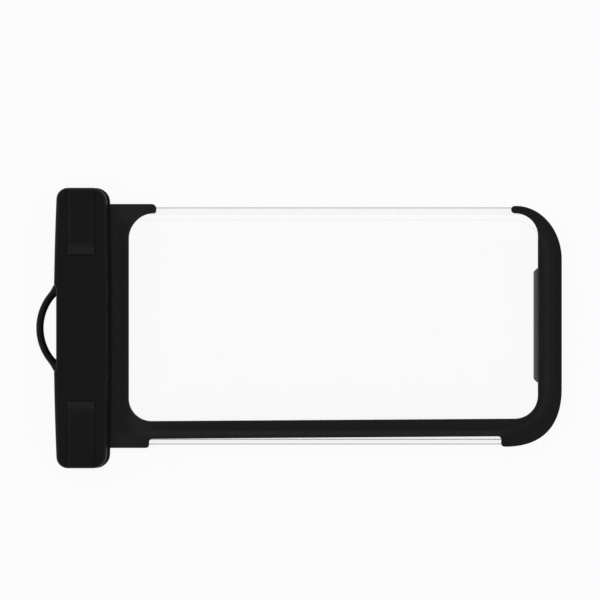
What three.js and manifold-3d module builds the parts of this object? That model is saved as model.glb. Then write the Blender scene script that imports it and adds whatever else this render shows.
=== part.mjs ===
// Waterproof phone case: a clear pouch under a black frame, shut at its mouth by a clamp with two latches.
// Millimetres. The case lies on its back: +X runs from the clamp to the closed end, +Y across the pouch,
// +Z up through its front. X is worked out from the clamp's outer edge and the whole model is centred at the end.
import * as THREE from "three";
import { mergeVertices } from "three/addons/utils/BufferGeometryUtils.js";
import Module from "manifold-3d";

// Pouch
const pouchReach = 188.7; // clamp's outer edge to the closed end
const pouchWidth = 88.1;
const pouchOffset = 0.75; // the pouch's middle line, off the clamp's middle
const pocketHeight = 8.8; // clear height between the two films
const filmThickness = 0.5;
const filmMouth = 2.6; // where the films start inside the clamp
const weldWidth = 2.8; // flat welded edge
const sideRise = 4.0; // run over which the wall climbs from the weld to the pocket
const mouthRise = 9.0; // the same at the mouth, where it climbs to the phone's end
const mouthRiseGap = 2.4; // flat run between the rear bar and the climb

// Frame
const frameThickness = 0.8;
const frameGap = 0.3; // film to frame
const filmMargin = 0.8; // frame's edge to the film's edge at the closed end
const frameTuck = 3.2; // reach of the frame under the clamp's cover
const shoulderOverhang = 1.3; // frame beyond the film beside the clamp
const endOverhangTop = 0.6;
const endOverhangBottom = 0.85;
const endCornerTop = [17.1, 20.0]; // run along X, run along Y
const endCornerBottom = [21.0, 21.8];
const cornerRound = 0.552; // handle length of a round corner, as a share of its run
const cornerFull = 0.655; // the lower corner is a little fuller
const windowFromCover = 7.4;
const windowFromEnd = 8.7;
const armUnderside = 2.2; // below the film's upper edge
const mouthArmReach = 17.7; // from the cover
const endArmReach = 18.8; // from the closed end
const shoulderReach = 15.0;
const endShoulderReach = 22.5;
const weldShownMouth = 2.1; // film that shows below the lower band, at its mouth end
const weldShownEnd = 3.0;
const bandWidth = 6.5;
const stepRound = 1.4;
const windowCorners = { mouthTop: 9.4, mouthBottom: 8.4, endBottom: 8.6, endTop: 8.6 };

// Clamp
const clampLength = 104.1;
const coverDepth = 20.3;
const coverHeight = 6.5;
const coverBow = 1.0; // outer edge stands out this much at its middle
const coverInnerBow = 0.6;
const coverCornerOuter = 4.3;
const coverCornerInner = 5.2;
const coverRound = 1.6;
const loopNotchDepth = 0.95;
const loopNotchLength = 31;
const rearInset = 1.0; // behind the cover's outer edge
const rearLedge = 1.0; // beyond the cover's inner edge
const rearRound = 1.2;
const jawRecess = 0.4; // rear bar's face below the films, between its ribs
const ribWidth = 1.2;
const landWidth = 2.0; // where each film is bonded to its bar
const frameRelief = 1.8; // room in both jaws for the frame, each side of the mid-plane
const reliefWall = 1.0; // from the frame's tucked edge
const bayClearance = 0.4;
const sealWidth = 6.0;
const sealHeight = 2.2;
const sealFromEdge = 9.5; // seal's middle line, from the cover's outer edge
const sealClearance = 0.25;

// Lanyard loop, moulded with the rear bar
const loopReach = 6.8; // beyond the cover's outer edge
const loopThickness = 2.8;
const loopRadius = 18.9; // at the middle of the strand
const loopHeight = 3.2;

// Latches
const latchWidth = 10.2;
const latchFromEdge = 10.1; // latch's middle line, from the cover's outer edge
const latchLength = 24.9;
const tabThickness = 2.4;
const tabLip = 0.4; // thumb lip above the cover
const tabLipLength = 2.4;
const dishDepth = 0.4;
const dishMargin = 1.1;
const legThickness = 3.2;
const latchRound = 1.6;
const knuckleRadius = 2.4;
const pinRadius = 0.9;
const pinHeight = 3.2;
const pinReach = 2.5; // into the rear bar each side of the latch
const pinClearance = 0.25;
const latchClearance = 0.35;
const tabClearance = 0.3;
const catchRadius = 0.7;
const catchClearance = 0.4;
const catchFromTip = 4.2;

// Soft strip inside the closed end
const bumperLength = 42.5;
const bumperDepth = 2.9;
const bumperCentre = 1.0;
const bumperChamfer = 1.3;
const bumperShown = 1.7; // width seen inside the window
const bumperClearance = 0.3;
const bumperRound = 0.8;

const arcSteps = 6;
const roundSteps = 3;
const overcut = 1; // how far a cutting shape runs past what it cuts

// Heights, from the floor
const midPlane = pocketHeight / 2 + filmThickness + frameGap + frameThickness;
const rearTop = midPlane - filmThickness;
const coverBase = midPlane + filmThickness;
const coverTop = coverBase + coverHeight;
const coverHalf = clampLength / 2;
const pouchTop = pouchOffset + pouchWidth / 2;
const pouchBottom = pouchOffset - pouchWidth / 2;
const rearEdge = coverDepth + rearLedge;
const filmEnd = pouchReach - filmMargin;
const frameStart = coverDepth - frameTuck;

const wasm = await Module();
wasm.setup();

// A closed three.js geometry as a solid that can be joined and cut.
function solid(geometry) {
  const bare = new THREE.BufferGeometry().setAttribute("position", geometry.getAttribute("position"));
  if (geometry.index) bare.setIndex(geometry.index);
  const merged = mergeVertices(bare, 1e-4);
  return new wasm.Manifold(
    new wasm.Mesh({
      numProp: 3,
      vertProperties: new Float32Array(merged.attributes.position.array),
      triVerts: new Uint32Array(merged.index.array),
    }),
  );
}

// A solid as a named mesh with its own material.
function piece(name, body, material) {
  const mesh = body.getMesh();
  const geometry = new THREE.BufferGeometry();
  const points = new Float32Array(mesh.numVert * 3);
  for (let i = 0; i < mesh.numVert; i++) {
    points.set(mesh.vertProperties.subarray(i * mesh.numProp, i * mesh.numProp + 3), i * 3);
  }
  geometry.setAttribute("position", new THREE.BufferAttribute(points, 3));
  geometry.setIndex(new THREE.BufferAttribute(new Uint32Array(mesh.triVerts), 1));
  geometry.computeVertexNormals();
  const made = new THREE.Mesh(geometry, material);
  made.name = name;
  return made;
}

// A box between two corners.
function block([x0, y0, z0], [x1, y1, z1]) {
  const geometry = new THREE.BoxGeometry(x1 - x0, y1 - y0, z1 - z0);
  return solid(geometry.translate((x0 + x1) / 2, (y0 + y1) / 2, (z0 + z1) / 2));
}

// A rod along X.
function rod(radius, x0, x1, y, z, sides = 20) {
  const geometry = new THREE.CylinderGeometry(radius, radius, x1 - x0, sides);
  return solid(geometry.rotateZ(Math.PI / 2).translate((x0 + x1) / 2, y, z));
}

// A plan outline stood up between two heights, with its edges rounded off top and bottom where asked.
function prism(outline, z0, z1, round = 0) {
  const geometry = new THREE.ExtrudeGeometry(outline, {
    depth: z1 - z0 - 2 * round,
    steps: 1,
    curveSegments: arcSteps,
    bevelEnabled: round > 0,
    bevelThickness: round,
    bevelSize: round,
    bevelOffset: -round,
    bevelSegments: roundSteps,
  });
  return solid(geometry.translate(0, 0, z0 + round));
}

function ease(t) {
  const c = Math.min(Math.max(t, 0), 1);
  return c * c * (3 - 2 * c);
}

// Distance in from the pouch's edge, at its two long sides and its rounded closed end.
function insetAt(x, y) {
  const upper = y > pouchOffset;
  const side = upper ? pouchTop - y : y - pouchBottom;
  const end = filmEnd - x;
  const radius = (upper ? endCornerTop[0] + endCornerTop[1] : endCornerBottom[0] + endCornerBottom[1]) / 2;
  if (side < radius && end < radius) return radius - Math.hypot(radius - side, radius - end);
  return Math.min(side, end);
}

// Height of a sheet's face over the pouch's mid-plane. Each layer lies parallel to the film's inner face,
// so on the slopes it also moves outwards by the offset times the tangent of half the slope.
const pocketHalf = pocketHeight / 2;
const sideShift = Math.tan(Math.atan(pocketHalf / sideRise) / 2);
const mouthShift = Math.tan(Math.atan(pocketHalf / mouthRise) / 2);
const mouthFoot = rearEdge + mouthRiseGap;
function faceHeight(x, y, offset) {
  const fromSide = ease((insetAt(x, y) + offset * sideShift - weldWidth) / sideRise);
  const fromMouth = ease((x + offset * mouthShift - mouthFoot) / mouthRise);
  return offset + pocketHalf * fromSide * fromMouth;
}

// Distances in from an edge at which the sheets bend: over the wall's climb, then round the end's corners.
function bendStations() {
  const climb = 7;
  const reach = 2 * frameThickness;
  const stations = [];
  for (let i = 0; i <= climb; i++) stations.push(weldWidth - reach + ((sideRise + reach) * i) / climb);
  const past = weldWidth + sideRise;
  const corner = endCornerBottom[0];
  for (const share of [0.14, 0.32, 0.55, 0.8, 1]) stations.push(past + (corner - past) * share);
  return stations;
}

// Both faces of a sheet over a grid that is finest where it bends, closed round its edge.
function sheet(lower, upper) {
  const bends = bendStations();
  const margin = 2 * shoulderOverhang + overcut;
  const xs = [filmMouth - margin, mouthFoot - 2 * frameThickness];
  const climb = 7;
  for (let i = 0; i <= climb; i++) xs.push(mouthFoot - frameThickness + ((mouthRise + frameThickness) * i) / climb);
  xs.push(...bends.map((d) => filmEnd - d).reverse(), pouchReach + margin);
  const ys = [pouchBottom - margin, ...bends.map((d) => pouchBottom + d)];
  ys.push(...bends.map((d) => pouchTop - d).reverse(), pouchTop + margin);
  const points = [];
  for (const offset of [upper, lower]) {
    for (const x of xs) for (const y of ys) points.push(x, y, faceHeight(x, y, offset));
  }
  const across = ys.length;
  const layer = xs.length * across;
  const faces = [];
  const quad = (a, b, c, d) => faces.push(a, b, c, a, c, d);
  for (let i = 0; i + 1 < xs.length; i++) {
    for (let j = 0; j + 1 < across; j++) {
      const a = i * across + j;
      const b = a + across;
      quad(a, b, b + 1, a + 1);
      quad(layer + a, layer + a + 1, layer + b + 1, layer + b);
    }
    const low = i * across;
    const high = low + across - 1;
    quad(low, layer + low, layer + low + across, low + across);
    quad(high, high + across, layer + high + across, layer + high);
  }
  for (let j = 0; j + 1 < across; j++) {
    const last = (xs.length - 1) * across + j;
    quad(j, j + 1, layer + j + 1, layer + j);
    quad(last, layer + last, layer + last + 1, last + 1);
  }
  const geometry = new THREE.BufferGeometry();
  geometry.setAttribute("position", new THREE.BufferAttribute(new Float32Array(points), 3));
  geometry.setIndex(faces);
  return solid(geometry);
}

// The rounded closed end, from the lower long side round to the upper one.
function drawEnd(path, end, bottom, top, trim) {
  const [lowX, lowY] = endCornerBottom.map((run) => run - trim);
  const [highX, highY] = endCornerTop.map((run) => run - trim);
  path.lineTo(end - lowX, bottom);
  path.bezierCurveTo(
    end - lowX * (1 - cornerFull), bottom,
    end, bottom + lowY * (1 - cornerFull),
    end, bottom + lowY,
  );
  path.lineTo(end, top - highY);
  path.bezierCurveTo(
    end, top - highY * (1 - cornerRound),
    end - highX * (1 - cornerRound), top,
    end - highX, top,
  );
}

function filmOutline(grow = 0) {
  const path = new THREE.Shape();
  path.moveTo(filmMouth, pouchBottom - grow);
  drawEnd(path, filmEnd + grow, pouchBottom - grow, pouchTop + grow, filmMargin);
  path.lineTo(filmMouth, pouchTop + grow);
  path.closePath();
  return path;
}

// The frame wraps three sides of the window. Its upper side is open between two short arms.
function frameOutline() {
  const path = new THREE.Shape();
  const low = pouchBottom - shoulderOverhang;
  const high = pouchTop + shoulderOverhang;
  const endLow = pouchBottom - endOverhangBottom;
  const endHigh = pouchTop + endOverhangTop;
  const bandMouth = pouchBottom + weldShownMouth;
  const bandEnd = pouchBottom + weldShownEnd;
  const stepX = coverDepth + shoulderReach;
  const endStepX = pouchReach - endShoulderReach;
  const under = pouchTop - armUnderside;
  const windowLeft = coverDepth + windowFromCover;
  const windowRight = pouchReach - windowFromEnd;
  const windowBottomMouth = bandMouth + bandWidth;
  const windowBottomEnd = bandEnd + bandWidth;
  const r = stepRound;
  path.moveTo(frameStart, low);
  path.lineTo(stepX - r, low);
  path.quadraticCurveTo(stepX, low, stepX, low + r);
  path.lineTo(stepX, bandMouth - r);
  path.quadraticCurveTo(stepX, bandMouth, stepX + r, bandMouth);
  path.lineTo(endStepX - r, bandEnd);
  path.quadraticCurveTo(endStepX, bandEnd, endStepX, bandEnd - r);
  path.lineTo(endStepX, endLow + r);
  path.quadraticCurveTo(endStepX, endLow, endStepX + r, endLow);
  drawEnd(path, pouchReach, endLow, endHigh, 0);
  const endTip = (endHigh - under) / 2;
  const endTipX = pouchReach - endArmReach + endTip;
  path.lineTo(endTipX, endHigh);
  path.absarc(endTipX, under + endTip, endTip, Math.PI / 2, (3 * Math.PI) / 2, false);
  const c = windowCorners;
  path.lineTo(windowRight - c.endTop, under);
  path.absarc(windowRight - c.endTop, under - c.endTop, c.endTop, Math.PI / 2, 0, true);
  path.lineTo(windowRight, windowBottomEnd + c.endBottom);
  path.absarc(windowRight - c.endBottom, windowBottomEnd + c.endBottom, c.endBottom, 0, -Math.PI / 2, true);
  path.lineTo(windowLeft + c.mouthBottom, windowBottomMouth);
  path.absarc(
    windowLeft + c.mouthBottom, windowBottomMouth + c.mouthBottom, c.mouthBottom,
    -Math.PI / 2, -Math.PI, true,
  );
  path.lineTo(windowLeft, under - c.mouthTop);
  path.absarc(windowLeft + c.mouthTop, under - c.mouthTop, c.mouthTop, Math.PI, Math.PI / 2, true);
  const tip = (high - under) / 2;
  const tipX = coverDepth + mouthArmReach - tip;
  path.quadraticCurveTo(tipX + tip, under, tipX + tip, under + tip);
  path.absarc(tipX, under + tip, tip, 0, Math.PI / 2, false);
  path.lineTo(frameStart, high);
  path.closePath();
  return path;
}

// Plan of a clamp bar: two bowed long edges and four round corners.
function barOutline(outer, inner, outerBow, innerBow, outerCorner, innerCorner) {
  const path = new THREE.Shape();
  const y = coverHalf;
  const outerEnd = outer + outerBow;
  const innerEnd = inner - innerBow;
  path.moveTo(outerEnd + outerCorner, -y);
  path.lineTo(innerEnd - innerCorner, -y);
  path.absarc(innerEnd - innerCorner, -y + innerCorner, innerCorner, -Math.PI / 2, 0, false);
  path.quadraticCurveTo(inner + innerBow, 0, innerEnd, y - innerCorner);
  path.absarc(innerEnd - innerCorner, y - innerCorner, innerCorner, 0, Math.PI / 2, false);
  path.lineTo(outerEnd + outerCorner, y);
  path.absarc(outerEnd + outerCorner, y - outerCorner, outerCorner, Math.PI / 2, Math.PI, false);
  path.quadraticCurveTo(outer - outerBow, 0, outerEnd, -y + outerCorner);
  path.absarc(outerEnd + outerCorner, -y + outerCorner, outerCorner, Math.PI, (3 * Math.PI) / 2, false);
  return path;
}

// The same solid turned to the other end of the clamp.
function otherEnd(body) {
  return body.mirror([0, 1, 0]);
}

const pinY = coverHalf - knuckleRadius;
const latchLow = latchFromEdge - latchWidth / 2;
const latchHigh = latchFromEdge + latchWidth / 2;
const tabBase = coverTop - tabThickness;
const catchY = coverHalf - latchLength + catchFromTip;

// A latch seen from its side: knuckle round the pin, leg up the clamp's end, tab back over the cover.
function latchBody() {
  const side = new THREE.Shape();
  const outerY = coverHalf;
  const innerY = coverHalf - legThickness;
  const tipY = coverHalf - latchLength;
  const lipTop = coverTop + tabLip;
  const r = latchRound;
  const tipRound = tabLip + 0.5 * tabThickness;
  side.moveTo(outerY, pinHeight);
  side.lineTo(outerY, coverTop - r);
  side.absarc(outerY - r, coverTop - r, r, 0, Math.PI / 2, false);
  side.lineTo(tipY + tabLipLength + 2 * tabLip, coverTop);
  side.quadraticCurveTo(tipY + tabLipLength + tabLip, lipTop, tipY + tabLipLength, lipTop);
  side.lineTo(tipY + tipRound, lipTop);
  side.quadraticCurveTo(tipY, lipTop, tipY, lipTop - tipRound);
  side.lineTo(tipY, tabBase);
  side.lineTo(innerY - r / 2, tabBase);
  side.absarc(innerY - r / 2, tabBase - r / 2, r / 2, Math.PI / 2, 0, true);
  side.lineTo(innerY, pinHeight);
  side.absarc(pinY, pinHeight, knuckleRadius, Math.PI, 2 * Math.PI, false);
  const geometry = new THREE.ExtrudeGeometry(side, {
    depth: latchWidth,
    curveSegments: arcSteps,
    bevelEnabled: false,
  });
  // The outline is drawn in Y and Z, so the extrusion's own axes turn onto them.
  geometry.applyMatrix4(new THREE.Matrix4().makeBasis(
    new THREE.Vector3(0, 1, 0),
    new THREE.Vector3(0, 0, 1),
    new THREE.Vector3(1, 0, 0),
  ));
  const dish = roundedPlan(
    latchLow + dishMargin, tipY + tabLipLength + 2 * dishMargin,
    latchHigh - dishMargin, coverHalf - legThickness, latchRound,
  );
  return solid(geometry.translate(latchLow, 0, 0))
    .subtract(prism(dish, coverTop - dishDepth, coverTop + overcut))
    .add(rod(catchRadius, latchLow + catchRadius, latchHigh - catchRadius, catchY, tabBase + catchRadius / 4, 12))
    .subtract(rod(pinRadius + pinClearance, latchLow - overcut, latchHigh + overcut, pinY, pinHeight));
}

function roundedPlan(x0, y0, x1, y1, r) {
  const path = new THREE.Shape();
  path.moveTo(x0 + r, y0);
  path.lineTo(x1 - r, y0);
  path.absarc(x1 - r, y0 + r, r, -Math.PI / 2, 0, false);
  path.lineTo(x1, y1 - r);
  path.absarc(x1 - r, y1 - r, r, 0, Math.PI / 2, false);
  path.lineTo(x0 + r, y1);
  path.absarc(x0 + r, y1 - r, r, Math.PI / 2, Math.PI, false);
  path.lineTo(x0, y0 + r);
  path.absarc(x0 + r, y0 + r, r, Math.PI, (3 * Math.PI) / 2, false);
  return path;
}

const pinStart = latchLow - pinReach;
const pinEnd = latchHigh + pinReach;
const sealLow = sealFromEdge - sealWidth / 2;
const sealHigh = sealFromEdge + sealWidth / 2;
const reliefStart = frameStart - reliefWall;

// Cover: the clamp's front bar, with a recess for each tab and a groove for the seal.
function coverBody() {
  const outline = barOutline(0, coverDepth, coverBow, coverInnerBow, coverCornerOuter, coverCornerInner);
  const depth = coverRound + overcut;
  let body = prism(outline, coverBase - depth, coverTop, coverRound);
  body = body.subtract(
    block([-overcut, -coverHalf - overcut, coverBase - depth - overcut],
      [coverDepth + overcut, coverHalf + overcut, coverBase]),
  );
  const recess = block(
    [latchLow - latchClearance, coverHalf - latchLength - latchClearance, tabBase - tabClearance],
    [latchHigh + latchClearance, coverHalf + overcut, coverTop + overcut],
  )
    .add(block(
      [latchLow - latchClearance, coverHalf - legThickness - latchClearance, coverBase - overcut],
      [latchHigh + latchClearance, coverHalf + overcut, coverTop + overcut],
    ))
    .add(rod(catchRadius + catchClearance, latchLow, latchHigh, catchY, tabBase, 12));
  body = body.subtract(recess).subtract(otherEnd(recess));
  body = body.subtract(block(
    [-overcut, -loopNotchLength / 2, coverBase - overcut],
    [loopNotchDepth, loopNotchLength / 2, coverTop + overcut],
  ));
  body = body.subtract(block(
    [sealLow - sealClearance, pouchBottom - sealClearance, coverBase - overcut],
    [sealHigh + sealClearance, pouchTop + sealClearance, coverBase + sealHeight],
  ));
  return body.subtract(block(
    [reliefStart, pouchBottom - shoulderOverhang - bayClearance, coverBase - overcut],
    [coverDepth + overcut, pouchTop + shoulderOverhang + bayClearance, midPlane + frameRelief],
  ));
}

function knuckleWall() {
  return pinY - knuckleRadius - bayClearance;
}

// The arch that a lanyard is tied to: part of a ring that starts and ends inside the bar.
function loopBody() {
  const centreX = loopRadius + loopThickness / 2 - loopReach;
  const sunk = rearInset + loopThickness;
  const half = Math.acos((centreX - sunk) / loopRadius);
  class Arch extends THREE.Curve {
    getPoint(t, target = new THREE.Vector3()) {
      const angle = Math.PI - half + 2 * half * t;
      return target.set(centreX + loopRadius * Math.cos(angle), loopRadius * Math.sin(angle), loopHeight);
    }
  }
  const section = new THREE.Shape().absarc(0, 0, loopThickness / 2, 0, 2 * Math.PI, false);
  return solid(new THREE.ExtrudeGeometry(section, {
    steps: 28,
    curveSegments: arcSteps,
    extrudePath: new Arch(),
  }));
}

// Rear bar: carries the films, the pins and the loop. Its ends stand up to the cover beside the films.
function rearBody() {
  const outline = barOutline(
    rearInset, rearEdge, coverBow, coverInnerBow, coverCornerOuter, coverCornerInner,
  );
  const depth = rearRound + overcut;
  let body = prism(outline, 0, coverBase + depth, rearRound);
  body = body.subtract(
    block([-overcut, -coverHalf - overcut, coverBase],
      [rearEdge + overcut, coverHalf + overcut, coverBase + depth + overcut]),
  );
  const bayStart = filmMouth - bayClearance;
  const bayLow = pouchBottom - bayClearance;
  const bayHigh = pouchTop + bayClearance;
  body = body.subtract(block([bayStart, bayLow, rearTop - jawRecess], [rearEdge + overcut, bayHigh, coverBase + overcut]));
  const ribs = [sealLow + ribWidth / 2, sealHigh - (3 * ribWidth) / 2].map((x) => [x, x + ribWidth]);
  for (const [x0, x1] of [[bayStart - overcut / 2, bayStart + landWidth], ...ribs]) {
    body = body.add(block([x0, bayLow - overcut / 2, rearTop - jawRecess - overcut], [x1, bayHigh + overcut / 2, rearTop]));
  }
  body = body.subtract(block(
    [reliefStart, pouchBottom - shoulderOverhang - bayClearance, midPlane - frameRelief],
    [rearEdge + overcut, pouchTop + shoulderOverhang + bayClearance, coverBase + overcut],
  ));
  const slot = block(
    [latchLow - latchClearance, knuckleWall(), -overcut],
    [latchHigh + latchClearance, coverHalf + overcut, coverBase + overcut],
  ).add(rod(pinRadius + pinClearance, pinStart - coverCornerOuter, pinEnd + pinClearance, pinY, pinHeight));
  return body.subtract(slot).subtract(otherEnd(slot)).add(loopBody());
}

function filmBody() {
  return sheet(0, filmThickness).intersect(prism(filmOutline(), -overcut, pocketHeight));
}

// The frame follows the film, and beyond the film's edge it turns down to meet the other frame.
function frameBody() {
  const base = filmThickness + frameGap;
  const plan = frameOutline();
  const rim = prism(plan, frameGap / 2, base + frameThickness).subtract(
    prism(filmOutline(frameGap), -overcut, pocketHeight),
  );
  return sheet(base, base + frameThickness).intersect(prism(plan, -overcut, pocketHeight + overcut)).add(rim);
}

function bumperBody() {
  const x0 = pouchReach - windowFromEnd - bumperShown;
  const x1 = x0 + bumperDepth;
  const low = bumperCentre - bumperLength / 2;
  const high = bumperCentre + bumperLength / 2;
  const plan = new THREE.Shape();
  plan.moveTo(x0, low + bumperChamfer);
  plan.lineTo(x0 + bumperChamfer, low);
  plan.lineTo(x1, low);
  plan.lineTo(x1, high);
  plan.lineTo(x0 + bumperChamfer, high);
  plan.lineTo(x0, high - bumperChamfer);
  plan.closePath();
  const half = pocketHalf - bumperClearance;
  return prism(plan, midPlane - half, midPlane + half, bumperRound);
}

function sealBody() {
  return block([sealLow, pouchBottom, coverBase], [sealHigh, pouchTop, coverBase + sealHeight]);
}

const clearFilm = new THREE.MeshStandardMaterial({
  color: 0xf4f6f6, roughness: 0.12, metalness: 0, transparent: true, opacity: 0.25,
});
const frameBlack = new THREE.MeshStandardMaterial({ color: 0x1e1e1f, roughness: 0.55, metalness: 0 });
const clampBlack = new THREE.MeshStandardMaterial({ color: 0x171718, roughness: 0.42, metalness: 0 });
const sealRubber = new THREE.MeshStandardMaterial({ color: 0x55575a, roughness: 0.7, metalness: 0 });
const bumperGrey = new THREE.MeshStandardMaterial({ color: 0x444345, roughness: 0.6, metalness: 0 });
const pinSteel = new THREE.MeshStandardMaterial({ color: 0xb9bbbd, roughness: 0.3, metalness: 1 });

const pouch = new THREE.Group();
const film = filmBody();
const frame = frameBody();
for (const [side, up] of [["front", 1], ["back", -1]]) {
  for (const made of [piece(`${side}_film`, film, clearFilm), piece(`${side}_frame`, frame, frameBlack)]) {
    made.scale.z = up;
    pouch.add(made);
  }
}
pouch.position.z = midPlane;

const clamp = new THREE.Group();
clamp.add(piece("front_clamp_bar", coverBody(), clampBlack));
clamp.add(piece("rear_clamp_bar", rearBody(), clampBlack));
clamp.add(piece("seal_strip", sealBody(), sealRubber));
const latch = latchBody();
const pin = rod(pinRadius, pinStart, pinEnd, pinY, pinHeight);
for (const [side, turn] of [["upper", (body) => body], ["lower", otherEnd]]) {
  clamp.add(piece(`${side}_latch`, turn(latch), clampBlack));
  clamp.add(piece(`${side}_latch_pin`, turn(pin), pinSteel));
}

const phoneCase = new THREE.Group();
phoneCase.add(pouch, clamp, piece("end_bumper", bumperBody(), bumperGrey));
phoneCase.position.x = -(pouchReach - loopReach) / 2;

export default phoneCase;
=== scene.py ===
# Waterproof phone case: clear pouch, black frame and latched clamp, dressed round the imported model.
# Sizes are in millimetres until a mesh is made. X runs from the clamp to the closed end, Z out of the front.
import bpy
import math
import numpy as np
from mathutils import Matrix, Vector
from mathutils.geometry import delaunay_2d_cdt


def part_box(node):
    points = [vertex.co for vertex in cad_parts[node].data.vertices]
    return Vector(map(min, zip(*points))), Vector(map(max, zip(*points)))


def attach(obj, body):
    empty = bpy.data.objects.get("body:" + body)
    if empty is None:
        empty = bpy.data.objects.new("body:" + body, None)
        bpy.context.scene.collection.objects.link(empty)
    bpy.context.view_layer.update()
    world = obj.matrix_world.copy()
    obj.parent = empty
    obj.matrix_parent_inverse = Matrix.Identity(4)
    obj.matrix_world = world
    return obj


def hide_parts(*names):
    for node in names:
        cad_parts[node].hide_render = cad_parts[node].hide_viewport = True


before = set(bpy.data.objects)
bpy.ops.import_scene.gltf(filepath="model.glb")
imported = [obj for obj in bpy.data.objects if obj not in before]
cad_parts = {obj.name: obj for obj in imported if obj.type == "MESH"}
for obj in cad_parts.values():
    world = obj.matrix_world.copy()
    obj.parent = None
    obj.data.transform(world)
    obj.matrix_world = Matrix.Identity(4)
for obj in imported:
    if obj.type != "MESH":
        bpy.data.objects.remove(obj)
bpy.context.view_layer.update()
mm = 0.001
scene = bpy.context.scene
print("frame loaded:", len(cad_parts), "nodes")


def nodeBox(node):
    low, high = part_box(node)
    return np.array(low) / mm, np.array(high) / mm


filmLow, filmHigh = nodeBox("front_film")
frameLow, frameHigh = nodeBox("front_frame")
coverLow, coverHigh = nodeBox("front_clamp_bar")
rearLow, rearHigh = nodeBox("rear_clamp_bar")
latchLow, latchHigh = nodeBox("upper_latch")
pinLow, pinHigh = nodeBox("upper_latch_pin")
bumperLow, bumperHigh = nodeBox("end_bumper")
sealLow, sealHigh = nodeBox("seal_strip")
midPlane = filmLow[2]


# Shaders: sockets as values in expressions

class Wire:
    # an output socket that can be used in arithmetic
    def __init__(self, nodes, socket):
        self.nodes = nodes
        self.socket = socket

    def maths(self, operation, *terms):
        return self.nodes.node("ShaderNodeMath", {"operation": operation}, dict(enumerate(terms)))

    def __add__(self, other):
        return self.maths("ADD", self, other)

    def __radd__(self, other):
        return self.maths("ADD", other, self)

    def __sub__(self, other):
        return self.maths("SUBTRACT", self, other)

    def __rsub__(self, other):
        return self.maths("SUBTRACT", other, self)

    def __mul__(self, other):
        return self.maths("MULTIPLY", self, other)

    def __rmul__(self, other):
        return self.maths("MULTIPLY", other, self)

    def __abs__(self):
        return self.maths("ABSOLUTE", self)

    def atMost(self, limit):
        return self.maths("MINIMUM", self, limit)

    def atLeast(self, other):
        return self.maths("MAXIMUM", self, other)

    def ramp(self, low, high, fromValue=0.0, toValue=1.0):
        # eased step from one value to another
        sockets = {0: self, 1: low, 2: high, 3: fromValue, 4: toValue}
        return self.nodes.node("ShaderNodeMapRange", {"interpolation_type": "SMOOTHSTEP"}, sockets)


class Nodes:
    # a shader tree, for a material or for the world
    def __init__(self, owner, outKind):
        owner.use_nodes = True
        self.owner = owner
        self.tree = owner.node_tree
        self.tree.nodes.clear()
        self.out = self.tree.nodes.new(outKind)

    def node(self, kind, settings=None, sockets=None, output=0):
        made = self.tree.nodes.new(kind)
        for key, value in (settings or {}).items():
            if key == "stops":
                for stop, (place, colour) in zip(made.color_ramp.elements, value):
                    stop.position, stop.color = place, (*colour, 1)
            else:
                setattr(made, key, value)
        for key, value in (sockets or {}).items():
            if isinstance(value, Wire):
                self.tree.links.new(value.socket, made.inputs[key])
            else:
                made.inputs[key].default_value = value
        return Wire(self, made.outputs[output])

    def finish(self, wire):
        self.tree.links.new(wire.socket, self.out.inputs["Surface"])
        return self.owner

    def place(self):
        return self.node("ShaderNodeTexCoord", output=3)

    def axis(self, place, index):
        return self.node("ShaderNodeSeparateXYZ", {}, {0: place}, index)

    def noise(self, place, scale, detail=2.0, roughness=0.5):
        sockets = {"Vector": place, "Scale": scale, "Detail": detail, "Roughness": roughness}
        return self.node("ShaderNodeTexNoise", {}, sockets)

    def pebbles(self, place, scale):
        return self.node("ShaderNodeTexVoronoi", {}, {"Vector": place, "Scale": scale})

    def blend(self, amount, low, high):
        low, high = (c if isinstance(c, Wire) else (*c, 1) for c in (low, high))
        return self.node("ShaderNodeMix", {"data_type": "RGBA"}, {0: amount, 6: low, 7: high}, 2)

    def bump(self, height, distance, strength):
        sockets = {"Height": height, "Distance": distance * mm, "Strength": strength}
        return self.node("ShaderNodeBump", {}, sockets)


def material(name):
    return Nodes(bpy.data.materials.new(name), "ShaderNodeOutputMaterial")


noiseSpan = (0.3, 0.7)  # most of a noise's values lie here
skinMix = {"pebbles": 0.7, "waves": 0.6, "wavePitch": 0.35, "strength": 0.5}


def fadeAt(face, reach):
    # where a fade starts and ends: two distances from a face, turned into metres
    return [(face + step) * mm for step in reach]


def wanderingSheen(patch, look):
    # roughness that differs a little from place to place
    return patch.ramp(*noiseSpan, look["rough"] - look["uneven"], look["rough"] + look["uneven"])


def pebbledSkin(n, place, look):
    waves = n.noise(place, look["pebble"] * skinMix["wavePitch"])
    skin = n.pebbles(place, look["pebble"]) * skinMix["pebbles"] + waves * skinMix["waves"]
    return n.bump(skin, look["relief"], skinMix["strength"])


def paintedTabHighlight(n, place, look):
    # painted highlight: a latch is paler on and beside the raised lip, near its tip and along the outer
    # ridge, where these raised faces catch the light
    x, y, z = (n.axis(place, index) for index in range(3))
    lip = z.ramp(*fadeAt(coverHigh[2], look["lipFade"]))
    ridge = x.ramp(*fadeAt(latchLow[0], look["ridgeFade"]), look["ridgeHighlight"], 0.0)
    top = z.ramp(*fadeAt(coverHigh[2], look["topFade"]))
    nearTip = abs(y).ramp(*fadeAt(latchLow[1], look["tipHighlightFade"]), look["paintedTabHighlight"], 0.0)
    return lip.atLeast(ridge * top).atLeast(nearTip)


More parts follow.
